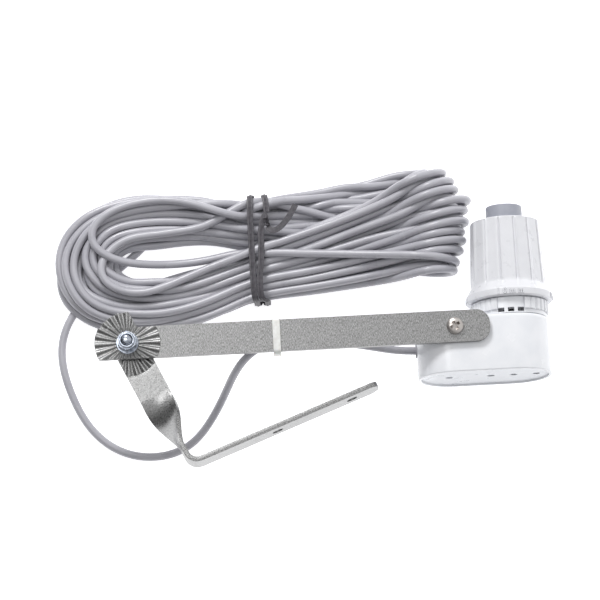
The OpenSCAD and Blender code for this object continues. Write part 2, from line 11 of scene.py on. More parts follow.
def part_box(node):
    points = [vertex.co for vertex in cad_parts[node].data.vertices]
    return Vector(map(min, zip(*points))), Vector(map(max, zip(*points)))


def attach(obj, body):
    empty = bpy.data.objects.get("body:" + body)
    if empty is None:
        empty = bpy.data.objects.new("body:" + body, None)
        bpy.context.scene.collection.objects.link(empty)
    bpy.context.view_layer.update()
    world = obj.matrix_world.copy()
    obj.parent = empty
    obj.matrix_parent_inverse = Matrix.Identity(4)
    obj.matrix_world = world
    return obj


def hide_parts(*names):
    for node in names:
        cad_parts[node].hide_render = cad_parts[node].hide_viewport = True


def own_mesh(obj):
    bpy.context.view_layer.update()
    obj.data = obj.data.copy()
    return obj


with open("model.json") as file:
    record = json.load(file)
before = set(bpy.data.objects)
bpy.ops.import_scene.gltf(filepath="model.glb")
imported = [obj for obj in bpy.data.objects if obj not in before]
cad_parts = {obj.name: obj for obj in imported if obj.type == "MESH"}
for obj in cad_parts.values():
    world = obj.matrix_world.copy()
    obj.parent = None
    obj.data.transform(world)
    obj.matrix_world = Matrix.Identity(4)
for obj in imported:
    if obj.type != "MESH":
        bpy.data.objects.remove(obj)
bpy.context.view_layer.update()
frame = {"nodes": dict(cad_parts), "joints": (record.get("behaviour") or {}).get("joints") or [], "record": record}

# ---- Places and sizes, in metres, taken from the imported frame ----

MM = 0.001
JOINTS = {j["name"]: j for j in frame["joints"]}
ARM_LOW, ARM_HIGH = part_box("arm")
PIVOT = Vector(JOINTS["knuckle_swivel"]["pos_m"])
ARM_Y = PIVOT.y
CAP_LOW, CAP_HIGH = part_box("cap")
HEAD = Vector(((CAP_LOW.x + CAP_HIGH.x) / 2, ARM_Y, (CAP_LOW.z + CAP_HIGH.z) / 2))
HEAD_FRAME = Matrix.Translation(HEAD) @ Matrix.Rotation(-pi / 2, 4, "X")
HOUSING_LOW, HOUSING_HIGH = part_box("housing")
HOUSING_R = (HOUSING_HIGH.z - HOUSING_LOW.z) / 2
SCREW_X = HOUSING_LOW.x + HOUSING_R
STRIP_W = ARM_HIGH.y - ARM_LOW.y
STRIP_T = ARM_HIGH.z - ARM_LOW.z


def mm(*values):
    """Millimetres as a vector in metres."""
    return Vector(values) * MM


def smoothstep(t):
    """0 up to t = 0 and 1 from t = 1, with a smooth rise between."""
    t = min(max(t, 0.0), 1.0)
    return t * t * (3 - 2 * t)


def bent(value, power):
    """A sine or cosine with its size raised to a power, for a squarer wave or outline."""
    return copysign(abs(value) ** power, value)


def linked(name, data):
    """A new object in the scene."""
    obj = bpy.data.objects.new(name, data)
    bpy.context.scene.collection.objects.link(obj)
    return obj


# ---- Camera ----

def make_camera():
    """Almost straight above, leaning back towards the foot of the picture, and rolled so that the arm rises."""
    lean, roll = radians(12.6), radians(3.0)
    distance = 2.0
    frame_width = 0.2373
    target = mm(-9.4, ARM_Y / MM + 16.1, 24)
    back = Vector((0, -sin(lean), cos(lean)))
    along = Vector((0, cos(lean), sin(lean)))
    right = cos(roll) * Vector((1, 0, 0)) - sin(roll) * along
    up = sin(roll) * Vector((1, 0, 0)) + cos(roll) * along
    data = bpy.data.cameras.new("camera")
    data.sensor_width = 36.0
    data.lens = data.sensor_width * distance / frame_width
    data.clip_start, data.clip_end = 0.05, 10.0
    camera = linked("camera", data)
    turn = Matrix((right, up, back)).transposed().to_4x4()
    camera.matrix_world = Matrix.Translation(target + distance * back) @ turn
    bpy.context.scene.camera = camera


make_camera()

# ---- The lead: its loose stretch, then the turns of the hank ----

CABLE_R = 1.6 * MM

# The rest of this section is in millimetres, with Y measured from the arm's centre line, up to cable_line().
# Route of the loose lead, the same points as in the CAD.
LEAD_POINTS = [
    (33.15, -5.5, 17.4), (30, -5.5, 17.5), (24, -4.5, 18.5), (14, -3, 22), (3, -2, 26.5), (-8, -1.5, 30),
    (-14, -1.5, 31), (-20, -1.5, 31), (-26, -3, 30.5), (-32, -6.5, 27), (-37, -11.5, 20), (-42, -19.5, 11),
    (-48, -28, 4.5), (-55, -35.5, 2), (-63, -39, 1.7), (-71, -40, 1.7), (-79, -38.8, 1.7),
    (-87.5, -34.8, 1.7), (-96, -26, 1.7), (-102, -13.5, 1.7), (-105.5, -0.5, 1.7), (-105.3, 9.5, 1.7),
    (-102, 17.5, 2), (-97, 23.5, 3),
]
GLAND_LOW, GLAND_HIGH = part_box("cable_gland")
LEAD_EXIT = Vector((GLAND_LOW.x, (GLAND_LOW.y + GLAND_HIGH.y) / 2, (GLAND_LOW.z + GLAND_HIGH.z) / 2))
LEAD_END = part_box("cable_ends")[0]

# The left end of the outermost and the innermost turn, from the tie's lower side round to its upper side.
OUTER_END = [
    (-47, 15), (-66, 12.5), (-84, 14.5), (-96, 20), (-103, 28), (-105.5, 37.5), (-103, 48), (-93, 57.5),
    (-80, 62.5), (-66, 63), (-46, 61),
]
INNER_END = [
    (-45, 34.5), (-58, 30), (-67, 28.6), (-75.5, 28.2), (-82.5, 31.6), (-85.5, 38.5), (-82.3, 45.2), (-75, 48.8),
    (-66, 49), (-57, 49.5), (-43, 49),
]
# How the lead comes in under the hank and turns back to its left end.
FIRST_BEND = [(-88, 32.5, 3), (-76, 43, 2.2), (-67, 53, 1.8), (-66.5, 62, 1.8), (-75, 67, 1.9)]
# The one loop that lies across the hank's eye, from the tie's upper side.
EYE_LOOP = [
    (-37, 55.5, 15.5), (-49, 60, 16), (-62, 62.5, 15.5), (-75, 61.5, 14.5), (-86, 57.5, 13.5),
    (-92, 51.5, 12.5), (-91.5, 45, 12), (-86.5, 40.3, 11.5), (-79, 38, 11), (-70, 37, 10), (-57, 36.8, 9.5),
    (-45, 37.6, 10), (-35, 39.2, 11),
]
TIE_X = -26.0
# The tie's lower and upper side as Y of the outermost and the innermost turn there.
TIE_LOW = (22.0, 40.5)
TIE_HIGH = (44.0, 59.5)
# The folded right ends, from the lowest in the picture to the highest. Every second fold lies inside its neighbour.
TIPS = [
    (54, 28), (56, 31), (58, 36.5), (58.5, 41.5), (60, 46.5), (60.5, 51), (60, 55.5), (57.5, 60.5), (54.5, 64),
    (49, 66.5),
]
FOLD_R = (12.5, 9.4)
FOLD_MIDDLE = 15.0
# The ways from the tie to a fold and back, as X, the share of the way in Y, the height on the first turn, and how
# much higher the last turn lies.
WAY_OUT = [(TIE_X, 0, 3, 8.5), (-2, 0.27, 6.5, 8.5), (24, 0.59, 12, 9)]
WAY_BACK = [(22, 0.52, 6.5, -3.5), (-2, 0.2, 3, 3), (TIE_X, 0, 3, 8)]
# How far in each pair of turns lies at the left end, from outermost to half way, first turns first.
NESTING = [0.30, 0.12, 0.42, 0.02, 0.22, 0.36, 0.07, 0.46, 0.17, 0.28, 0.1]
# The turn that takes the eye's loop, and how far in it passes the tie.
EYE_TURN, EYE_NEST = 20, 0.95
# The height of the first turn's left end, and how much higher the last turn's lies.
LEVEL, LEVEL_RISE = 2.2, 9
# How far in the last half turn lies, and the height of the lead's end on the floor.
LAST_NEST, END_LEVEL = 0.9, 1.8
HANK_SEED = 11

# Where the cable's centre may lie. Its lowest height, and its rise over the tie's ribbon with that rise's reach:
LOWEST, TIE_RISE, TIE_REACH = 1.65, 1.4, 7
# its greatest height at the tie, along the runs and at the folds:
TIED_HIGHEST, RUN_HIGHEST, FOLD_HIGHEST = 14.4, 22.3, 30
# half the tied stretch, the X from which folds count, and both ends in X:
TIED_HALF, FOLDS_FROM, ENDS = 5, 15, (-107, 63)
# the room between the tie's sides, and how near the cap's axis and how far past its top the folds keep clear.
TIED_LOW, TIED_HIGH = TIE_LOW[0] - 0.3, TIE_HIGH[1] + 0.8
CAP_CLEAR, CAP_OVER = 17.0, 2

# Settling: the distance kept between strands in widths of the cable, how much further pairs are looked for, the share
# of an overlap that one push takes away, the share of a move that lasts, and the fall in each round.
STRAND_GAP, PAIR_REACH, PUSH, LASTING, FALL = 1.03, 2.5, 0.3, 0.985, 0.04
ROUNDS, QUICK_ROUNDS, PAIR_ROUNDS, PUSHES = 140, 30, 6, 4
ROUTE_STEP, CURVE_STEP = 3.0, 3.2


def mix(a, b, t):
    return a + (b - a) * t


def lerp(a, b, t):
    return tuple(mix(x, y, t) for x, y in zip(a, b))


def along_list(points, t):
    """The point at share t along a list of points, taken as evenly spaced."""
    at = min(max(t, 0.0), 1.0) * (len(points) - 1)
    i = min(int(at), len(points) - 2)
    return lerp(points[i], points[i + 1], at - i)


def left_end(rng, nest, level):
    """One turn's way round the left end, from the tie's upper side to its lower side."""
    wander = rng.uniform(-0.16, 0.16)
    shift_x, shift_y = rng.uniform(-3.5, 1.5), rng.uniform(-1.2, 1.2)
    points = []
    count = len(OUTER_END)
    for k in range(count):
        share = k / (count - 1)
        middle = sin(pi * share)
        place = min(max(nest + wander * sin(2 * pi * share), 0), 1)
        x, y = lerp(INNER_END[count - 1 - k], OUTER_END[count - 1 - k], 1 - place)
        tilt = rng.uniform(-0.8, 0.8)
        points.append((x + shift_x * middle, y + shift_y * middle + tilt, level + rng.uniform(-0.6, 0.6)))
    return points


def way(stops, home, tip_y, order):
    """Points between the tie and a fold. order runs from 0 on the first turn to 1 on the last."""
    return [(x, home + share * (tip_y - home), z + rise * order) for x, share, z, rise in stops]


def fold(tip_x, tip_y, radius, lean, low_y, high_y):
    """Points round an upright fold, each on the straight line from the tie to the fold's tip."""
    points = []
    for degrees in (90, 45, 0, -45, -90):
        turned = radians(degrees)
        x = tip_x - radius * (1 - cos(turned))
        home = low_y if degrees > 0 else high_y
        y = home + (tip_y - home) * (1 - (tip_x - x) / (tip_x - TIE_X))
        points.append((x, y - lean * sin(turned), FOLD_MIDDLE + radius * sin(turned)))
    return points


def hank_controls(rng):
    """Points of the turns in order: round the left end, in at the tie's low side, out to a fold and back."""
    points = []
    turns = 2 * len(NESTING)
    nests = sorted(NESTING + [1 - nest for nest in NESTING])
    for turn in range(turns):
        nest = NESTING[turn // 2] if turn % 2 == 0 else 1 - NESTING[turn // 2]
        place = nests.index(nest)
        order = turn / (turns - 1)
        level = LEVEL + LEVEL_RISE * order
        if turn == EYE_TURN:
            points += EYE_LOOP
            nest = EYE_NEST
        elif turn == 0:
            points += FIRST_BEND + left_end(rng, nest, level)[3:]
        else:
            points += left_end(rng, nest, level)
        low_y, high_y = mix(*TIE_LOW, nest), mix(*TIE_HIGH, nest)
        tip_x, tip_y = along_list(TIPS, place / (turns - 1))
        fold_r = FOLD_R[place % 2]
        tip_x += rng.uniform(-2.5, 0) + fold_r - FOLD_R[0]
        lean = rng.uniform(0.2, 1.0)
        points += way(WAY_OUT, low_y, tip_y, order)
        points += fold(tip_x, tip_y, fold_r, lean, low_y, high_y)
        points += way(WAY_BACK, high_y, tip_y, order)
    end = (LEAD_END.x / MM, (LEAD_END.y - ARM_Y) / MM + 0.75, END_LEVEL)
    points += left_end(rng, LAST_NEST, LEVEL)
    points += [(TIE_X, 39.5, 3.1), (-16, 40.8, 2.6), (-8, end[1] - 0.4, 2.1), (0, end[1], END_LEVEL), end]
    return points


def catmull(points, step):
    """Points about step apart on the smooth curve through points."""
    p = np.array(points, float)
    p = np.vstack([2 * p[0] - p[1], p, 2 * p[-1] - p[-2]])
    out = []
    for i in range(1, len(p) - 2):
        a, b, c, d = p[i - 1 : i + 3]
        n = max(2, int(round(np.linalg.norm(c - b) / step * 2)))
        t = (np.arange(n) / n)[:, None]
        chord = 2 * b + t * (c - a)
        out.append(0.5 * (chord + t**2 * (2 * a - 5 * b + 4 * c - d) + t**3 * (3 * b - a - 3 * c + d)))
    out.append(p[-2][None])
    return respaced(np.vstack(out), step)


def respaced(p, step):
    """The same line with its points step apart."""
    run = np.concatenate([[0], np.cumsum(np.linalg.norm(np.diff(p, axis=0), axis=1))])
    at = np.linspace(0, run[-1], max(2, int(round(run[-1] / step)) + 1))
    return np.stack([np.interp(at, run, p[:, k]) for k in range(3)], axis=1)


def close_pairs(p, reach, skip):
    """Pairs of points closer than reach and more than skip places apart along the line."""
    found = []
    block = 400
    for start in range(0, len(p), block):
        d = p[start : start + block, None] - p[None]
        i, j = np.nonzero((d * d).sum(2) < reach * reach)
        i = i + start
        keep = j > i + skip
        found.append(np.stack([i[keep], j[keep]], axis=1))
    return np.vstack(found)


def averaged(d, times):
    """A line's values with each inner one mixed with its neighbours."""
    for _ in range(times):
        d = d.copy()
        d[1:-1] = 0.5 * d[1:-1] + 0.25 * (d[:-2] + d[2:])
    return d


def settle(p, free, rounds):
    """Moves the line's points until its strands lie beside and on each other, with their run kept."""
    rest = averaged(p, 3)
    clear = STRAND_GAP * 2 * CABLE_R / MM
    moved = np.zeros_like(p)
    pairs = None
    for k in range(rounds):
        if k % PAIR_ROUNDS == 0:
            pairs = close_pairs(p, clear + PAIR_REACH, 8)
        moved = averaged(LASTING * moved, 3)
        moved[:, 2] -= FALL
        p = rest + free * moved
        for _ in range(PUSHES):
            d = p[pairs[:, 0]] - p[pairs[:, 1]]
            gap = np.linalg.norm(d, axis=1)
            hit = gap < clear
            i, j, d, gap = pairs[hit, 0], pairs[hit, 1], d[hit], gap[hit]
            push = PUSH * ((clear - gap) / np.maximum(gap, 0.2))[:, None] * d
            move = np.zeros_like(p)
            np.add.at(move, i, push)
            np.add.at(move, j, -push)
            p += free * move
            p = np.where(free > 0.5, inside_bounds(p), p)
        moved = (p - rest) * free
    return p


def inside_bounds(p):
    """Points kept off the floor, inside the tie and short of the cap."""
    p = p.copy()
    from_tie = p[:, 0] - TIE_X
    tied = np.abs(from_tie) < TIED_HALF
    lowest = LOWEST + TIE_RISE * np.exp(-((from_tie / TIE_REACH) ** 2))
    highest = np.where(tied, TIED_HIGHEST, np.where(p[:, 0] < FOLDS_FROM, RUN_HIGHEST, FOLD_HIGHEST))
    p[:, 2] = np.clip(p[:, 2], lowest, highest)
    p[tied, 1] = np.clip(p[tied, 1], TIED_LOW, TIED_HIGH)
    p[:, 0] = np.clip(p[:, 0], *ENDS)
    axis = np.array([HEAD.x, HEAD.z]) / MM
    out = p[:, [0, 2]] - axis
    away = np.linalg.norm(out, axis=1)
    inside = (p[:, 1] < (CAP_HIGH.y - ARM_Y) / MM + CAP_OVER) & (away < CAP_CLEAR)
    for k, column in enumerate((0, 2)):
        p[inside, column] = axis[k] + out[inside, k] * CAP_CLEAR / away[inside]
    return p


def cable_line():
    """The whole lead's centreline in metres."""
    rng = random.Random(HANK_SEED)
    start = tuple((LEAD_EXIT - Vector((0, ARM_Y, 0))) / MM)
    loose = catmull([start] + LEAD_POINTS, ROUTE_STEP)
    whole = catmull([start] + LEAD_POINTS + hank_controls(rng), ROUTE_STEP)
    free = np.ones((len(whole), 1))
    free[: len(loose) - 3] = 0
    free[-4:] = 0
    whole = settle(whole, averaged(free, 4) * free, ROUNDS)
    whole = respaced(averaged(whole, 1), CURVE_STEP)
    whole[:, 1] += ARM_Y / MM
    return whole * MM


CABLE = cable_line()


def make_cable():
    data = bpy.data.curves.new("lead_cable", "CURVE")
    data.dimensions = "3D"
    data.bevel_depth = CABLE_R
    data.bevel_resolution = 4
    data.resolution_u = 2
    data.use_fill_caps = True
    spline = data.splines.new("NURBS")
    spline.points.add(len(CABLE) - 1)
    spline.points.foreach_set("co", np.hstack([CABLE, np.ones((len(CABLE), 1))]).ravel())
    spline.order_u = 4
    spline.use_endpoint_u = True
    return linked("lead_cable", data)


cable = make_cable()

# ---- Mesh helpers ----

def mesh_object(name, vertices, faces, matrix=None, sharp=35):
    """A new mesh object, smooth but for edges sharper than an angle in degrees."""
    mesh = bpy.data.meshes.new(name)
    mesh.from_pydata([tuple(v) for v in vertices], [], faces)
    if matrix is not None:
        mesh.transform(matrix)
    tidy = bmesh.new()
    tidy.from_mesh(mesh)
    bmesh.ops.remove_doubles(tidy, verts=tidy.verts, dist=1e-7)
    bmesh.ops.recalc_face_normals(tidy, faces=tidy.faces)
    tidy.to_mesh(mesh)
    tidy.free()
    mesh.shade_smooth()
    mesh.set_sharp_from_angle(angle=radians(sharp))
    return linked(name, mesh)


def tube_faces(rings, sides, closed=False, wrap=True):
    """Quads between rings of points, each with the same number of sides."""
    faces = []
    for i in range(rings if closed else rings - 1):
        n = (i + 1) % rings
        for k in range(sides if wrap else sides - 1):
            m = (k + 1) % sides
            faces.append((i * sides + k, i * sides + m, n * sides + m, n * sides + k))
    return faces


def tube(rings, closed=False):
    """Vertices and faces of a tube through rings of points, with its two ends filled unless it is closed."""
    sides = len(rings[0])
    faces = tube_faces(len(rings), sides, closed)
    if not closed:
        last = (len(rings) - 1) * sides
        faces += [tuple(reversed(range(sides))), tuple(range(last, last + sides))]
    return [point for ring in rings for point in ring], faces


def slab_faces(rows, columns, wrap):
    """Faces of a sheet with thickness: two grids of points, one after the other, and walls between their edges."""
    skin = tube_faces(rows, columns, wrap=wrap)
    other = rows * columns
    edges = []
    for row in (0, (rows - 1) * columns):
        edges += [(row + k, row + (k + 1) % columns) for k in range(columns if wrap else columns - 1)]
    if not wrap:
        edges += [(i * columns + k, (i + 1) * columns + k) for i in range(rows - 1) for k in (0, columns - 1)]
    walls = [(a, b, other + b, other + a) for a, b in edges]
    return skin + [tuple(other + i for i in f) for f in skin] + walls


def round_point(r, a, h):
    """A point in metres from its radius, angle and height in millimetres."""
    return (r * cos(a) * MM, r * sin(a) * MM, h * MM)


def lathe(name, profile, steps=128, matrix=HEAD_FRAME, shape=None, sharp=35):
    """A turned piece: profile is a list of (radius, height) in millimetres. shape may change a radius."""
    vertices = []
    for r, h in profile:
        for k in range(steps):
            a = 2 * pi * k / steps
            vertices.append(round_point(shape(r, h, a) if shape else r, a, h))
    hollow = min(profile[0][0], profile[-1][0]) > 0 and profile[0] != profile[-1]
    return mesh_object(name, vertices, tube_faces(len(profile), steps, hollow), matrix, sharp)


def fillet(corner, before, after, radius, steps):
    """Points that round a profile's corner between the directions of its neighbours."""
    c, a, b = (Vector(p) for p in (corner, before, after))
    u, v = (a - c).normalized(), (b - c).normalized()
    angle = u.angle(v)
    run = min(radius / tan(angle / 2), 0.49 * (a - c).length, 0.49 * (b - c).length)
    start, end = c + u * run, c + v * run
    shares = [k / steps for k in range(steps + 1)]
    return [tuple((1 - t) ** 2 * start + 2 * t * (1 - t) * c + t * t * end) for t in shares]


def rounded(points, radii, closed=False, steps=5):
    """A profile with its corners rounded, by one radius each. A radius of 0 keeps the corner."""
    out = []
    n = len(points)
    for i, p in enumerate(points):
        r = radii[i]
        if r == 0 or (not closed and i in (0, n - 1)):
            out.append(tuple(p))
        else:
            out += fillet(p, points[i - 1], points[(i + 1) % n], r, steps)
    return out


def sweep(name, path, normals, section, closed=False):
    """A section, as (across, outward) pairs in metres, carried along a path of points with outward normals."""
    rings = []
    n = len(path)
    for i, p in enumerate(path):
        after, before = ((i + 1) % n, i - 1) if closed else (min(i + 1, n - 1), max(i - 1, 0))
        t = (path[after] - path[before]).normalized()
        out = (normals[i] - t * normals[i].dot(t)).normalized()
        across = t.cross(out)
        rings.append([p + across * a + out * b for a, b in section])
    return mesh_object(name, *tube(rings, closed))


def bevel(obj, width, segments, angle):
    """Rounds a piece's edges that are sharper than an angle in degrees."""
    modifier = obj.modifiers.new("edges", "BEVEL")
    modifier.width = width
    modifier.segments = segments
    modifier.limit_method = "ANGLE"
    modifier.angle_limit = radians(angle)
    return obj


def settle_modifiers(obj):
    """Turns a piece's modifiers into its own mesh."""
    dg = bpy.context.evaluated_depsgraph_get()
    mesh = bpy.data.meshes.new_from_object(obj.evaluated_get(dg))
    obj.modifiers.clear()
    obj.data = mesh
    return obj


def drill(obj, cutters):
    """Cuts closed meshes out of a piece."""
    for cutter in cutters:
        modifier = obj.modifiers.new("cut", "BOOLEAN")
        modifier.operation = "DIFFERENCE"
        modifier.solver = "EXACT"
        modifier.object = cutter
    bpy.context.view_layer.update()
    settle_modifiers(obj)
    for cutter in cutters:
        bpy.data.objects.remove(cutter)
    obj.data.set_sharp_from_angle(angle=radians(35))
    return obj


def rod(radius, length, matrix):
    """A plain cutter: a cylinder along Z, centred on the matrix's place."""
    end = length / 2
    return lathe("cutter", [(0, -end), (radius, -end), (radius, end), (0, end)], 48, matrix)


# ---- Bracket strips ----

FLUTE_R = 13 * MM
FLUTES = 24
FLUTE_DEPTH = 0.46 * MM
# Where the flutes begin round the bolt, the run in which they reach their depth, and the steps that draw one.
FLUTE_START, FLUTE_RISE, FLUTE_STEPS = 3.4 * MM, 2.2 * MM, 14
PIVOT_HOLE_R = 2.05 * MM


def flute_wave(r, a):
    """The pressed flutes as a share of their depth, from -1 in a furrow to 1 on a ridge, and their fading in."""
    fade = smoothstep((r - FLUTE_START) / FLUTE_RISE) * (0.4 + 0.6 * r / FLUTE_R)
    return fade * bent(cos(FLUTES * a), 0.75), fade


def fluted_end(name, matrix, phase, upper, lower):
    """The strip's round end about the pivot. upper and lower turn (wave, fade) into a shift of that face."""
    half = STRIP_W / 2
    corner = asin(half / FLUTE_R)
    steps = FLUTES * FLUTE_STEPS
    angles = [2 * pi * k / steps for k in range(steps)]
    angles += [corner, pi - corner, pi + corner, 2 * pi - corner]
    angles.sort()
    rings = 16
    vertices = []
    for side, shift in ((1, upper), (-1, lower)):
        for i in range(rings + 1):
            for a in angles:
                reach = min(FLUTE_R, half / max(abs(sin(a)), 0.01))
                r = PIVOT_HOLE_R + (reach - PIVOT_HOLE_R) * i / rings
                height = side * STRIP_T / 2 + FLUTE_DEPTH * shift(*flute_wave(r, a - phase))
                vertices.append((r * cos(a), r * sin(a), height))
    faces = slab_faces(rings + 1, len(angles), True)
    return bevel(mesh_object(name, vertices, faces, matrix, 32), 0.16 * MM, 2, 62)


def joined(first, second):
    """Two pieces as one mesh, with their modifiers settled."""
    settle_modifiers(first)
    settle_modifiers(second)
    both = bmesh.new()
    both.from_mesh(first.data)
    both.from_mesh(second.data)
    both.to_mesh(first.data)
    both.free()
    bpy.data.objects.remove(second)
    return first


def strip(name, stations, end, corner_r, end_run, place):
    """A flat strip from the fluted end's edge to an end with round corners, all in metres along the strip.

    The stations give way to the two ends' shapes over a run. place(s, u, side) gives a point of the strip's upper
    (+1) or lower (-1) face.
    """
    rows, start_run = 44, 8 * MM
    half = STRIP_W / 2
    us = [half * sin(pi / 2 * (2 * k / rows - 1)) for k in range(rows + 1)]
    s_min, s_max = stations[0], stations[-1]
    vertices = []
    for side in (1, -1):
        for s in stations:
            for u in us:
                first = sqrt(FLUTE_R**2 - u * u)
                over = max(0.0, abs(u) - half + corner_r)
                last = end - corner_r + sqrt(max(0.0, corner_r**2 - over**2))
                shifted = s + (first - s_min) * max(0.0, 1 - (s - s_min) / start_run)
                shifted += (last - s_max) * max(0.0, 1 - (s_max - s) / end_run)
                vertices.append(place(shifted, u, side))
    faces = slab_faces(len(stations), rows + 1, False)
    return bevel(mesh_object(name, vertices, faces, None, 40), 0.22 * MM, 2, 60)


def spread(marks):
    """Stations along a strip: marks are (place, step) pairs, each step used up to the next place."""
    out = []
    for (a, step), (b, _) in zip(marks, marks[1:]):
        n = max(1, round((b - a) / step))
        out += [a + (b - a) * k / n for k in range(n)]
    return [s * MM for s in out + [marks[-1][0]]]


def on_pivot(z):
    """The upright frame on the knuckle's axis at a height in metres."""
    return Matrix.Translation((PIVOT.x, ARM_Y, z))


NOSE_CORNER = 5.5 * MM


def make_arm():
    """The arm: a plain strip from its fluted end on the knuckle to its round-cornered end on the housing."""
    nose = (ARM_HIGH.x - PIVOT.x) / MM
    matrix = on_pivot((ARM_LOW.z + ARM_HIGH.z) / 2)

    def place(s, u, side):
        return matrix @ Vector((s, u, side * STRIP_T / 2))

    stations = spread([(FLUTE_R / MM, 0.8), (22, 2), (nose - 15, 0.6), (nose, 1)])
    arm = strip("arm_strip", stations, nose * MM, NOSE_CORNER, 15 * MM, place)
    end = fluted_end("arm_end", matrix, 0.0, lambda wave, fade: wave, lambda wave, fade: (fade + wave) / 2)
    return joined(arm, end)


# The leg, in millimetres: the bend's corner from the pivot, the wall plate's length from there, its holes from its
# free end, and where the quarter twist begins and ends.
LEG_REACH = 54.6
LEG_ANGLE = radians(65)
LEG_BEND = radians(85.6)
BEND_R = 4.5
BEND_TANGENT = BEND_R * tan(LEG_BEND / 2)
BEND_ARC = BEND_R * LEG_BEND
PLATE_L = 79.2
LEG_RUN = LEG_REACH - BEND_TANGENT + BEND_ARC + PLATE_L - BEND_TANGENT
HOLE_EDGE = 11.3
HOLE_PITCH = 31.75
HOLE_R = 2.2
PLATE_CORNER = 4.2 * MM
TWIST = (24, 46)


def leg_frame(s):
    """Middle of the leg's strip at a run s in millimetres: its place, its direction, its width's and its face's."""
    corner = LEG_REACH - BEND_TANGENT
    up = Vector((0, 0, 1))
    if s <= corner:
        at, turn = Vector((s, 0, 0)), 0.0
    elif s <= corner + BEND_ARC:
        turn = (s - corner) / BEND_R
        at = Vector((corner + BEND_R * sin(turn), BEND_R * (1 - cos(turn)), 0))
    else:
        turn = LEG_BEND
        run = s - corner - BEND_ARC + BEND_TANGENT
        at = Vector((LEG_REACH + run * cos(turn), run * sin(turn), 0))
    along = Vector((cos(turn), sin(turn), 0))
    side = Vector((-sin(turn), cos(turn), 0))
    share = min(max((s - TWIST[0]) / (TWIST[1] - TWIST[0]), 0), 1)
    twist = pi / 4 * (smoothstep(share) + share)
    width = cos(twist) * side + sin(twist) * up
    face = cos(twist) * up - sin(twist) * side
    return at, along, width, face


def make_leg():
    """The leg: the fluted end under the arm's, a quarter twist, the bend and the wall plate with its two holes."""
    matrix = on_pivot(ARM_LOW.z - STRIP_T / 2) @ Matrix.Rotation(-LEG_ANGLE, 4, "Z")

    def place(s, u, side):
        at, _, width, face = leg_frame(s / MM)
        return matrix @ (at * MM + width * u + face * (side * STRIP_T / 2))

    stations = spread([(FLUTE_R / MM, 1.0), (TWIST[0], 0.5), (56, 1.5), (LEG_RUN - 12, 0.6), (LEG_RUN, 1)])
    leg = strip("leg_strip", stations, LEG_RUN * MM, PLATE_CORNER, 20 * MM, place)
    settle_modifiers(leg)
    holes = []
    for back in (HOLE_EDGE, HOLE_EDGE + HOLE_PITCH):
        at, along, _, face = leg_frame(LEG_RUN - back)
        turn = Matrix((along, face.cross(along), face)).transposed().to_4x4()
        holes.append(rod(HOLE_R, 8, matrix @ Matrix.Translation(at * MM) @ turn))
    drill(leg, holes)
    end = fluted_end("leg_end", matrix, LEG_ANGLE, lambda wave, fade: wave - fade, lambda wave, fade: wave / 2)
    return joined(leg, end)


# ---- Fasteners ----

# The radius that marks a point of the nut's profile as lying on its flats.
ON_FLATS = 99


def make_knuckle_nut():
    """The lock nut: a chamfered hexagon under a round collar."""
    low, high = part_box("knuckle_nut")
    across = (high.y - low.y) / 2 / MM
    top = (high.z - low.z) / MM
    hex_top = top - 1.1
    heights = [0, 0.25, 0.5, hex_top - 1.2, hex_top - 0.9, hex_top - 0.6, hex_top - 0.3, hex_top]

    def hexagon(r, h, a):
        if r != ON_FLATS:
            return r
        flat = across / cos((a + pi / 6) % (pi / 3) - pi / 6)
        chamfer = across + 0.05 + 1.3 * min(h + 0.1, max(hex_top - h, 0))
        return min(flat, chamfer)

    profile = [(2.0, 0)] + [(ON_FLATS, h) for h in heights]
    profile += rounded([(3.25, hex_top), (3.2, top), (2.35, top), (2.0, top - 0.5)], [0.2, 0.45, 0.3, 0])
    return lathe("lock_nut", profile, 96, on_pivot(low.z), hexagon, 30)


def make_knuckle_bolt():
    """The bolt: its head under the knuckle, and a thread where it stands out of the nut."""
    low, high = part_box("knuckle_bolt")
    total = (high.z - low.z) / MM
    head_r, head, shank_r = 3.8, 2.6, 1.95
    crest, root, pitch = 1.98, 1.66, 0.5
    profile = rounded([(0, 0), (head_r, 0), (head_r, head), (shank_r, head)], [0, 0.9, 0.15, 0])
    h = (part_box("knuckle_nut")[1].z - low.z) / MM - 1
    while h < total - 0.7:
        profile += [(crest, h), (crest, h + 0.1), (root, h + 0.3), (crest, h + pitch)]
        h += pitch
    profile += [(1.9, total - 0.6), (1.5, total - 0.12), (1.2, total), (0, total)]
    bolt = lathe("knuckle_bolt_turned", profile, 64, on_pivot(low.z), None, 30)
    return drill(bolt, cross_cutters(on_pivot(low.z), 4.6, 1.0, 1.2))


def cross_cutters(matrix, length, width, depth):
    """Two tapered blades that cut a cross recess, centred on the matrix's place."""
    corners = ((-1, -1), (1, -1), (1, 1), (-1, 1))
    cutters = []
    for turn in (0, pi / 2):
        rings = []
        for z, share in ((-depth, 0.55), (depth, 1.45)):
            half_l, half_w = share * length / 2, width / 2 * (0.6 + 0.4 * share)
            rings.append([mm(x * half_l, y * half_w, z) for x, y in corners])
        cutters.append(mesh_object("cutter", *tube(rings), matrix @ Matrix.Rotation(turn, 4, "Z")))
    return cutters


def make_washer():
    low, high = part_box("knuckle_washer")
    r, t, hole = (high.x - low.x) / 2 / MM, (high.z - low.z) / MM, 2.1
    profile = rounded([(hole, 0), (r, 0), (r, t), (hole, t)], [0.1, 0.2, 0.25, 0.1], closed=True, steps=3)
    return lathe("washer_plate", profile + profile[:1], 72, on_pivot(low.z))


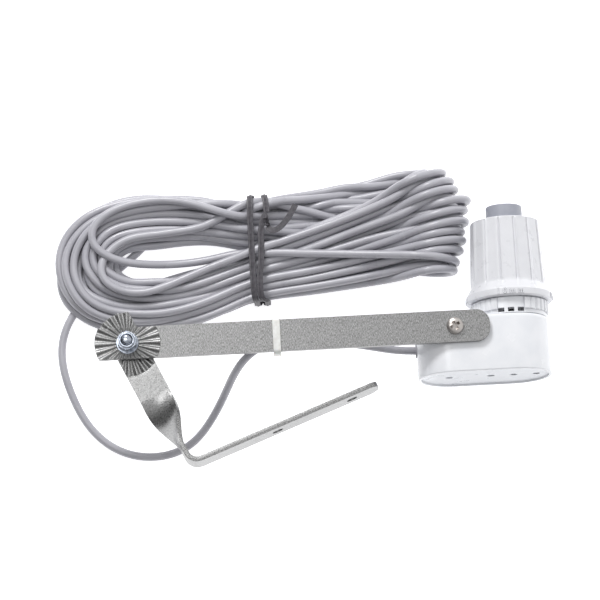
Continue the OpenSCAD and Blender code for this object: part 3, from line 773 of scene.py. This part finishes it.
def make_arm_screw():
    """The screw that holds the arm to the housing: a low dome with a cross recess over a pointed shank."""
    low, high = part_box("arm_screw")
    r, top = (high.x - low.x) / 2 / MM, (high.z - ARM_HIGH.z) / MM
    shank, shank_r, edge = (ARM_HIGH.z - low.z) / MM, 1.3, 0.9
    dome = [(r * cos(a), edge + (top - edge) * sin(a)) for a in [k * pi / 20 for k in range(10)]]
    profile = [(0, -shank), (0.6, -shank), (shank_r, -shank + 1.5), (shank_r, 0), (r - 0.15, 0), (r, 0.15)]
    matrix = Matrix.Translation((SCREW_X, ARM_Y, ARM_HIGH.z))
    screw = lathe("head_screw_turned", profile + dome + [(0, top)], 72, matrix, None, 30)
    recess = Matrix.Translation((0, 0, top * MM)) @ Matrix.Rotation(radians(28), 4, "Z")
    return drill(screw, cross_cutters(matrix @ recess, 4.2, 1.15, 1.9))


# ---- Head ----

def obround_ring(r, h, steps=48):
    """Points round an obround of end radius r at height h, in the head's own frame."""
    points = []
    for start, shift in ((-pi / 2, 0), (pi / 2, HEAD.x - SCREW_X)):
        for k in range(steps + 1):
            x, y, z = round_point(r, start + pi * k / steps, h)
            points.append((x - shift, y, z))
    return points


def make_housing():
    """The housing: an obround shell, open below for its cover, with the lead's hole and the opening under the cap."""
    r, top, foot = HOUSING_R / MM, (HOUSING_HIGH.y - ARM_Y) / MM, (HOUSING_LOW.y - ARM_Y) / MM
    rim = r - 1.35
    wall = rim - 1.4
    ledge, roof, slit = foot + 3.7, top - 1.8, 1.0
    outline = [
        (slit, top), (r, top), (r, foot), (rim, foot), (rim, ledge), (wall, ledge), (wall, roof), (slit, roof),
    ]
    profile = rounded(outline, [0, 1.9, 1.1, 0.25, 0, 0, 0.5, 0], steps=7)
    rings = [obround_ring(radius, h) for radius, h in profile]
    body = mesh_object("housing_shell", *tube(rings), HEAD_FRAME, 40)
    gland = Matrix.Translation(mm((GLAND_LOW.x - HEAD.x) / MM + 2, 0, (LEAD_EXIT.y - ARM_Y) / MM))
    lead_hole = rod(3.0, 8, HEAD_FRAME @ gland @ Matrix.Rotation(pi / 2, 4, "Y"))
    opening = rod(6.1, 12, HEAD_FRAME @ Matrix.Translation(mm(0, 0, top)))
    return drill(body, [lead_hole, opening])


def make_vent_ring():
    """The vent ring: an open ring with upright ribs, and a plain thumb rib at each end."""
    ribs, steps_a_rib = 31, 8
    inner, outer, groove = 14.68, 15.4, 14.92
    low, high, edge = 6.5, 11.2, 0.25
    gap = radians(42)
    start = -pi / 2 + gap / 2
    steps = ribs * steps_a_rib
    rings = []
    for k in range(steps + 1):
        share = k / steps
        a = start + (2 * pi - gap) * share
        rib = smoothstep((0.5 - abs((share * ribs) % 1.0 - 0.5)) / 0.28)
        at_end = min(share, 1 - share) * ribs < 0.9
        r = outer if at_end else groove + (outer - groove) * rib
        section = [(inner, low), (r - edge, low), (r, low + edge), (r, high - edge), (r - edge, high), (inner, high)]
        rings.append([round_point(p, a, h) for p, h in section])
    return mesh_object("vent_ring_ribbed", *tube(rings), HEAD_FRAME, 30)


# The cap and the dial. Heights are in millimetres along the head's axis, from the arm's centre line.
CAP_GROOVES = 14
DIAL_R, DIAL_LOW, DIAL_HIGH = 17.05, 11.6, 14.8
CAP_TOP = (CAP_HIGH.y - ARM_Y) / MM
# The grip barrel's foot as a height, then its radius at the foot and at the top.
BARREL_LOW, BARREL_FOOT_R, BARREL_TOP_R = 18.3, 14.7, 13.56
CAP_HOLE_R, CAP_FOOT_R = 7.5, 11.08


def cap_shape(r, h, a):
    """Grip grooves down the barrel, each with a raised lip along one side."""
    if r < 12.6 or h < BARREL_LOW - 0.6:
        return r
    fade = smoothstep((h - BARREL_LOW + 0.6) / 1.2) * (1 - smoothstep((h - CAP_TOP + 0.9) / 0.8))
    pitch = 2 * pi / CAP_GROOVES
    off = ((a + pi / 2) % pitch - pitch / 2) * r
    groove = -0.6 * exp(-((off / 0.34) ** 2))
    lip = 0.24 * exp(-(((off - 0.75) / 0.3) ** 2))
    facet = -0.12 * cos(CAP_GROOVES * (a + pi / 2))
    return r + fade * (groove + lip + facet)


def make_cap():
    """The cap: the dial's band, the grooved barrel, the spindle's hole in its top, and its hollow inside."""
    band = rounded(
        [(CAP_FOOT_R, DIAL_LOW), (DIAL_R - 0.4, DIAL_LOW), (DIAL_R, DIAL_LOW + 0.5), (DIAL_R, DIAL_HIGH - 0.3),
         (16.6, DIAL_HIGH + 0.3), (BARREL_FOOT_R + 0.1, BARREL_LOW - 0.2)],
        [0, 0.3, 0.3, 0.35, 0.5, 0], steps=4)
    rows = 26
    foot, shoulder = (BARREL_FOOT_R, BARREL_LOW), (BARREL_TOP_R, CAP_TOP - 0.9)
    barrel = [lerp(foot, shoulder, k / rows) for k in range(rows + 1)]
    ledge, roof, skirt = 30.2, 42.9, 15.2
    top = rounded([barrel[-1], (BARREL_TOP_R - 0.03, CAP_TOP), (CAP_HOLE_R, CAP_TOP), (CAP_HOLE_R, ledge)],
                  [0, 0.9, 0.3, 0], steps=6)[1:]
    inside = [(9.3, ledge), (9.3, roof), (12.3, roof), (12.3, skirt), (CAP_FOOT_R, skirt), (CAP_FOOT_R, DIAL_LOW)]
    return lathe("cap_grooved", band + barrel + top + inside, CAP_GROOVES * 28, HEAD_FRAME, cap_shape, 38)


DIAL_MARKS = ((0, "10mm"), (90, "15mm"), (180, "20mm"), (270, "5mm"))


def make_dial_marks(name, raised, grown):
    """The rainfall settings, raised on the dial's band a quarter turn apart. grown makes the strokes wider."""
    vertices, faces = [], []
    middle = (DIAL_LOW + DIAL_HIGH) / 2
    for turn, words in DIAL_MARKS:
        data = bpy.data.curves.new("words", "FONT")
        data.body = words
        data.size = 3.2
        data.space_character = 1.6
        data.align_x, data.align_y = "CENTER", "CENTER"
        data.extrude = raised
        data.offset = grown
        data.resolution_u = 3
        text = linked("words", data)
        bpy.context.view_layer.update()
        mesh = bpy.data.meshes.new_from_object(text.evaluated_get(bpy.context.evaluated_depsgraph_get()))
        first = len(vertices)
        for v in mesh.vertices:
            a = -pi / 2 + v.co.x / DIAL_R + radians(turn)
            vertices.append(round_point(DIAL_R + v.co.z, a, middle + v.co.y))
        faces += [tuple(first + i for i in p.vertices) for p in mesh.polygons]
        bpy.data.objects.remove(text)
    return mesh_object(name, vertices, faces, HEAD_FRAME, 30)


def make_spindle():
    """The test spindle: a knob that stands out of the cap, over a stepped rod."""
    low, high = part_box("test_spindle")
    r = (high.x - low.x) / 2 / MM
    top, bottom = (high.y - ARM_Y) / MM, (low.y - ARM_Y) / MM
    tip_r, rod_r, step, knob, dish = 1.2, 2, 10, 38, 0.18
    profile = [(0, bottom), (tip_r, bottom), (tip_r, step), (rod_r, step)]
    profile += rounded([(rod_r, knob), (r, knob), (r, top), (r - 1.1, top), (r - 1.4, top - dish), (0, top - dish)],
                       [0, 0.3, 0.7, 0.3, 0.2, 0], steps=5)
    return lathe("spindle_knob", profile, 96, HEAD_FRAME)


SPRING_LOW, SPRING_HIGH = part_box("return_spring")


def make_return_spring():
    """The spring that lifts the spindle, with its end turns closed up."""
    wire, turns, per_turn, sides = 0.4 * MM, 5, 40, 10
    radius = (SPRING_HIGH.x - SPRING_LOW.x) / 2 - wire
    bottom, rise = SPRING_LOW.y + wire, SPRING_HIGH.y - SPRING_LOW.y - 2 * wire
    path, normals = [], []
    for k in range(turns * per_turn + 1):
        a = 2 * pi * k / per_turn
        climb = smoothstep((k / per_turn - 0.5) / (turns - 1)) * 0.4 + 0.6 * k / (turns * per_turn)
        out = Vector((cos(a), 0, sin(a)))
        path.append(Vector((HEAD.x, bottom + rise * climb, HEAD.z)) + out * radius)
        normals.append(out)
    turned = [2 * pi * k / sides for k in range(sides)]
    return sweep("return_spring_coil", path, normals, [(wire * cos(a), wire * sin(a)) for a in turned])


# ---- Ties ----

# The twist tie's way round the hank: turn in degrees from the top towards the cap's side, and X.
TIE_WRAPS = [
    (15, -20.9), (60, -21.4), (90, -21.7), (180, -24.0), (268, -26.4), (300, -27.1), (360, -27.6), (420, -27.3),
    (450, -26.7), (540, -24.4), (628, -22.2), (640, -23.2), (660, -24.4), (690, -24.9), (712, -24.7), (722, -23.4),
    (732, -21.6),
]
# Its twisted tail, as X and Y, and the ribbon's section over its wire, as width and thickness.
TIE_TAIL = [(-20.6, 48.2), (-18.6, 46.8), (-16.2, 47.6), (-13.8, 49.8), (-11.6, 52.6), (-9.2, 56.6)]
RIBBON = [
    (-1.15, -0.13), (0, -0.16), (1.15, -0.13), (1.2, 0), (1.1, 0.14), (0.5, 0.17), (0.3, 0.36), (0, 0.46),
    (-0.3, 0.36), (-0.5, 0.17), (-1.1, 0.14), (-1.2, 0),
]


def bundle_section():
    """The middle and half sizes, in millimetres, of the strands that the twist tie goes round."""
    at = CABLE[np.abs(CABLE[:, 0] - TIE_X * MM) < TIED_HALF * MM] / MM
    at = at[at[:, 1] > ARM_Y / MM + 15]
    low, high = at[:, 1:].min(0) - CABLE_R / MM, at[:, 1:].max(0) + CABLE_R / MM
    return (low + high) / 2, (high - low) / 2


def make_twist_tie():
    """The twist tie: a ribbon over a wire, wound round the hank and twisted into a loose end."""
    (cy, cz), (a, b) = bundle_section()
    power, beside, above, under = 6.0, 0.35, 0.25, 0.55
    a, b = a + beside, b + above
    cz = max(cz, b + under)
    path, normals = [], []
    # The curve through the wraps takes 6 degrees of turn as a millimetre.
    wraps = catmull([(turn / 6, x, 0) for turn, x in TIE_WRAPS], 0.25)
    for turn, x, _ in wraps.tolist():
        angle = radians(turn * 6)
        s, c = sin(angle), cos(angle)
        path.append(Vector((x, cy + a * bent(s, 2 / power), cz + b * bent(c, 2 / power))) * MM)
        normals.append(Vector((0, bent(s, 2 - 2 / power) / a, bent(c, 2 - 2 / power) / b)).normalized())
    loose = [tuple(path[-1] / MM)]
    loose += [(x, y + ARM_Y / MM, loose[0][2] + 0.7 + 0.25 * k) for k, (x, y) in enumerate(TIE_TAIL)]
    for k, p in enumerate(catmull(loose, 0.4)[1:]):
        spin = 3 * pi * smoothstep(k / 16)
        path.append(Vector(p) * MM)
        normals.append(Vector((0.6, -0.8, 0)) * sin(spin) + Vector((0, 0, 1)) * cos(spin))
    return sweep("twist_tie", path, normals, [(x * MM, y * MM) for x, y in RIBBON])


def make_arm_tie():
    """The nylon tie: a flat band round the arm, along a rectangle with round corners in the YZ plane."""
    low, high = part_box("arm_tie")
    thick, corner_r, steps = 1.0, 1.3, 8
    inset = thick / 2 + 0.1 + corner_r
    y0, y1 = low.y / MM + inset, high.y / MM - inset
    z0, z1 = low.z / MM + inset, high.z / MM - inset
    path, normals = [], []
    for y, z, start in ((y1, z1, 0), (y0, z1, 90), (y0, z0, 180), (y1, z0, 270)):
        for k in range(steps + 1):
            a = radians(start + 90 * k / steps)
            out = Vector((0, cos(a), sin(a)))
            path.append(Vector(((low.x + high.x) / 2, y * MM, z * MM)) + corner_r * MM * out)
            normals.append(out)
    u, v = (high.x - low.x) / MM / 2 - 0.1, thick / 2
    section = rounded([(-u, -v), (u, -v), (u, v), (-u, v)], [0.3] * 4, closed=True, steps=3)
    return sweep("arm_band", path, normals, [(a * MM, b * MM) for a, b in section], closed=True)


# ---- The lead's far end ----

def make_core_ends():
    """The two cores at the lead's far end: insulation, then bare strands."""
    end = Vector(CABLE[-1])
    along = (end - Vector(CABLE[-3])).normalized()
    side = along.cross(Vector((0, 0, 1))).normalized()
    up = side.cross(along)
    ring_count, sides, strands = 8, 14, 7
    turned = [2 * pi * k / sides for k in range(sides)]
    made = []
    for name, first, last, radius, ripple in (("core_sleeves", -0.8, 6, 0.7, 0), ("core_strands", 5.5, 11, 0.42, 0.08)):
        vertices, faces = [], []
        for sign in (-1, 1):
            rings = []
            for i in range(ring_count):
                run = first + (last - first) * i / (ring_count - 1)
                middle = end + (along * run + side * sign * (0.78 + 0.05 * run)) * MM
                middle.z = max(middle.z, (radius + 0.1) * MM)
                rings.append([])
                for a in turned:
                    r = radius * (1 + ripple * cos(strands * a + run)) * MM
                    rings[-1].append(middle + (side * cos(a) + up * sin(a)) * r)
            points, skin = tube(rings)
            faces += [tuple(len(vertices) + i for i in f) for f in skin]
            vertices += points
        made.append(mesh_object(name, vertices, faces))
    return made


# ---- Materials ----

def fill(node, values):
    """Sets a node's own sockets by name."""
    for socket, value in values.items():
        node.inputs[socket].default_value = value
    return node


def noise(tree, size, detail, stretch=(1, 1, 1)):
    """Noise whose features are about size millimetres, stretched along the axes."""
    coords = tree.nodes.new("ShaderNodeTexCoord")
    mapping = fill(tree.nodes.new("ShaderNodeMapping"), {"Scale": [1 / (size * MM * k) for k in stretch]})
    texture = fill(tree.nodes.new("ShaderNodeTexNoise"), {"Scale": 1.0, "Detail": detail})
    tree.links.new(coords.outputs["Object"], mapping.inputs["Vector"])
    tree.links.new(mapping.outputs["Vector"], texture.inputs["Vector"])
    return texture.outputs["Fac"]


def ramp(tree, source, stops):
    """A colour ramp over a value: stops are (place, colour)."""
    node = tree.nodes.new("ShaderNodeValToRGB")
    elements = node.color_ramp.elements
    while len(elements) < len(stops):
        elements.new(0.5)
    for element, (place, colour) in zip(elements, stops):
        element.position = place
        element.color = (*colour, 1)
    tree.links.new(source, node.inputs["Fac"])
    return node.outputs["Color"]


def ranged(tree, source, low, high):
    """The middle of a noise's range stretched to run from low to high."""
    node = tree.nodes.new("ShaderNodeMapRange")
    fill(node, {"From Min": 0.3, "From Max": 0.7, "To Min": low, "To Max": high})
    tree.links.new(source, node.inputs["Value"])
    return node.outputs["Result"]


def grey(value):
    return (value,) * 3


def surface(name, metallic, dark, light, rough, colour_noise, bumps, stops=(0.35, 0.65), more=None):
    """A material whose colour and roughness run over one noise, with bumps from noises of their own.

    colour_noise is what noise() takes, and each bump is (size, depth), both in millimetres, or (size, depth, stretch).
    """
    material = bpy.data.materials.new(name)
    material.use_nodes = True
    tree = material.node_tree
    shader = tree.nodes["Principled BSDF"]
    fill(shader, {"Metallic": metallic, **(more or {})})
    source = noise(tree, *colour_noise)
    tree.links.new(ramp(tree, source, [(stops[0], dark), (stops[1], light)]), shader.inputs["Base Color"])
    tree.links.new(ranged(tree, source, *rough), shader.inputs["Roughness"])
    normal = None
    for size, depth, *stretch in bumps:
        bump = fill(tree.nodes.new("ShaderNodeBump"), {"Strength": 1.0, "Distance": depth * MM})
        tree.links.new(noise(tree, size, 4, *stretch), bump.inputs["Height"])
        if normal:
            tree.links.new(normal, bump.inputs["Normal"])
        normal = bump.outputs["Normal"]
    tree.links.new(normal, shader.inputs["Normal"])
    return material


# What surface() takes, by slot.
LOOKS = {
    "leg_metal": (1, grey(0.2), grey(0.42), (0.22, 0.38), (0.5, 4), [(0.35, 0.025), (2.5, 0.04)], (0.3, 0.7)),
    "arm_metal": (1, grey(0.11), grey(0.46), (0.3, 0.5), (0.3, 5, (0.6, 2.6, 1)),
                  [(0.42, 0.05, (0.7, 1.8, 1)), (0.28, 0.035)], (0.3, 0.7)),
    "zinc_steel": (1, (0.22, 0.245, 0.29), (0.46, 0.49, 0.55), (0.14, 0.26), (1.5, 3), [(0.3, 0.01)]),
    "screw_steel": (1, (0.44, 0.41, 0.39), (0.56, 0.53, 0.51), (0.26, 0.34), (2.5, 3), [(0.8, 0.004)]),
    "tie_nylon": (0, (0.70, 0.67, 0.63), (0.80, 0.78, 0.75), (0.4, 0.55), (2, 3), [(0.3, 0.01)],
                  (0.35, 0.65), {"Subsurface Weight": 0.1}),
    "housing_plastic": (0, (0.74, 0.755, 0.79), (0.79, 0.80, 0.83), (0.2, 0.28), (9, 3),
                        [(0.25, 0.004), (7, 0.02)], (0.35, 0.65), {"Coat Weight": 0.15}),
    "cover_plastic": (0, (0.66, 0.68, 0.72), (0.72, 0.735, 0.77), (0.26, 0.36), (6, 3), [(0.25, 0.006)]),
    "ring_plastic": (0, (0.68, 0.69, 0.72), (0.76, 0.77, 0.80), (0.24, 0.34), (4, 3), [(0.25, 0.006)]),
    "cap_plastic": (0, (0.665, 0.67, 0.70), (0.69, 0.695, 0.725), (0.26, 0.33), (5, 4), [(0.18, 0.008)]),
    "spindle_plastic": (0, (0.29, 0.30, 0.345), (0.315, 0.325, 0.37), (0.38, 0.5), (4, 4), [(0.18, 0.008)]),
    "cable_grey": (0, (0.355, 0.352, 0.387), (0.40, 0.397, 0.432), (0.25, 0.33), (14, 4), [(0.5, 0.012)]),
    "twist_tie": (0, (0.045, 0.042, 0.05), (0.085, 0.08, 0.092), (0.38, 0.55), (1.2, 4), [(0.35, 0.03)]),
    "bare_copper": (1, (0.62, 0.30, 0.17), (0.80, 0.45, 0.28), (0.25, 0.4), (0.6, 3), [(0.15, 0.02, (1, 5, 1))]),
    "seal_rubber": (0, grey(0.02), grey(0.04), (0.7, 0.85), (2, 3), [(0.3, 0.02)]),
    "inner_plastic": (0, (0.5858, 0.58, 0.5742), (0.6666, 0.66, 0.6534), (0.4, 0.55), (4, 3), [(0.25, 0.008)]),
    "spring_steel": (1, grey(0.36), grey(0.6), (0.22, 0.36), (0.8, 3, (1, 4, 1)), [(0.2, 0.01)]),
    "switch_plastic": (0, grey(0.022), grey(0.045), (0.45, 0.62), (2, 4), [(0.2, 0.012)]),
    "button_plastic": (0, (0.30, 0.02, 0.015), (0.42, 0.035, 0.03), (0.4, 0.5), (1, 3), [(0.2, 0.008)]),
    "contact_brass": (1, (0.52, 0.37, 0.13), (0.70, 0.53, 0.22), (0.25, 0.4), (0.8, 3), [(0.2, 0.01)]),
    "wire_black": (0, grey(0.015), grey(0.03), (0.35, 0.45), (3, 3), [(0.4, 0.008)]),
    "wire_white": (0, grey(0.62), grey(0.72), (0.35, 0.45), (3, 3), [(0.4, 0.008)]),
    "disc_fibre": (0, (0.30, 0.21, 0.11), (0.62, 0.48, 0.29), (0.8, 0.95), (0.4, 6, (2, 1, 2)),
                   [(0.3, 0.15)], (0.25, 0.75)),
}
MATERIALS = {slot: surface(slot, *look) for slot, look in LOOKS.items()}


def finish_piece(obj, slot, body, *nodes):
    """Gives a new piece its material, body and the CAD nodes that it stands for."""
    obj.data.materials.clear()
    obj.data.materials.append(MATERIALS[slot])
    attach(obj, body)
    if nodes:
        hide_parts(*nodes)
    return obj


for part in frame["record"]["subparts"]:
    node = frame["nodes"][part["node"]]
    node.data.materials.clear()
    node.data.materials.append(MATERIALS[part["material_slot"]])

twist_tie = finish_piece(make_twist_tie(), "twist_tie", "sensor", "hank_tie")
sleeves, strands = make_core_ends()
finish_piece(sleeves, "wire_black", "sensor", "cable_ends")
finish_piece(strands, "bare_copper", "sensor", "cable_ends")
finish_piece(cable, "cable_grey", "sensor", "cable_lead", "cable_hank")

finish_piece(make_arm(), "arm_metal", "sensor", "arm")
finish_piece(make_leg(), "leg_metal", "bracket_leg", "bracket_leg")
finish_piece(make_knuckle_nut(), "zinc_steel", "sensor", "knuckle_nut")
finish_piece(make_knuckle_bolt(), "zinc_steel", "sensor", "knuckle_bolt")
finish_piece(make_washer(), "zinc_steel", "sensor", "knuckle_washer")
finish_piece(make_arm_screw(), "screw_steel", "sensor", "arm_screw")
finish_piece(make_arm_tie(), "tie_nylon", "sensor", "arm_tie")
finish_piece(make_housing(), "housing_plastic", "sensor", "housing")
finish_piece(make_vent_ring(), "ring_plastic", "vent_ring", "vent_ring")
finish_piece(make_cap(), "cap_plastic", "cap", "cap")
# The marks stand on wider, flatter and darker strokes: painted shade round the moulded figures, not a print on the
# dial.
finish_piece(make_dial_marks("dial_marks", 0.34, 0.03), "ring_plastic", "cap")
finish_piece(make_dial_marks("dial_mark_painted_shade", 0.1, 0.15), "cable_grey", "cap")
finish_piece(make_spindle(), "spindle_plastic", "spindle", "test_spindle")
spring = finish_piece(make_return_spring(), "spring_steel", "sensor", "return_spring")
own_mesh(spring)


# ---- Floor and light ----

def make_floor():
    """A white floor that glows a little, so that it stays white between soft shadows."""
    half = 1.6
    corners = [(-half, -half, 0), (half, -half, 0), (half, half, 0), (-half, half, 0)]
    floor = mesh_object("floor", corners, [(0, 1, 2, 3)])
    material = bpy.data.materials.new("floor_white")
    material.use_nodes = True
    fill(material.node_tree.nodes["Principled BSDF"], {
        "Base Color": (0.86, 0.865, 0.88, 1), "Roughness": 0.7,
        "Emission Color": (1, 1, 1, 1), "Emission Strength": 0.72,
    })
    floor.data.materials.append(material)


def area_light(name, place, target, size, power):
    """A square area light that looks at a target."""
    data = bpy.data.lights.new(name, "AREA")
    data.size = size
    data.energy = power
    light = linked(name, data)
    light.location = place
    light.rotation_mode = "QUATERNION"
    light.rotation_quaternion = (Vector(target) - Vector(place)).to_track_quat("-Z", "Y")


# The sky's brightest direction, and its greys from the horizon across from it to that direction.
SKY_AXIS = Vector((0.58, 0.2, 0.79)).normalized()
SKY = [(0.0, grey(0.18)), (0.25, grey(0.35)), (0.65, grey(0.85)), (1.0, grey(0.9))]


def make_light():
    """A sky that is bright to one side, for the strips' reflections, and two area lights."""
    world = bpy.data.worlds.new("studio")
    world.use_nodes = True
    tree = world.node_tree
    coords = tree.nodes.new("ShaderNodeTexCoord")
    toward = tree.nodes.new("ShaderNodeVectorMath")
    toward.operation = "DOT_PRODUCT"
    toward.inputs[1].default_value = SKY_AXIS
    tree.links.new(coords.outputs["Generated"], toward.inputs[0])
    tree.links.new(ramp(tree, toward.outputs["Value"], SKY), tree.nodes["Background"].inputs["Color"])
    bpy.context.scene.world = world
    bpy.context.scene.view_settings.view_transform = "Standard"
    area_light("key", (-0.22, 0.74, 0.6), (0, 0, 0), 0.26, 6.5)
    area_light("over", (-0.16, 0.12, 0.5), (-0.06, 0, 0), 0.14, 0.24)


make_floor()
make_light()
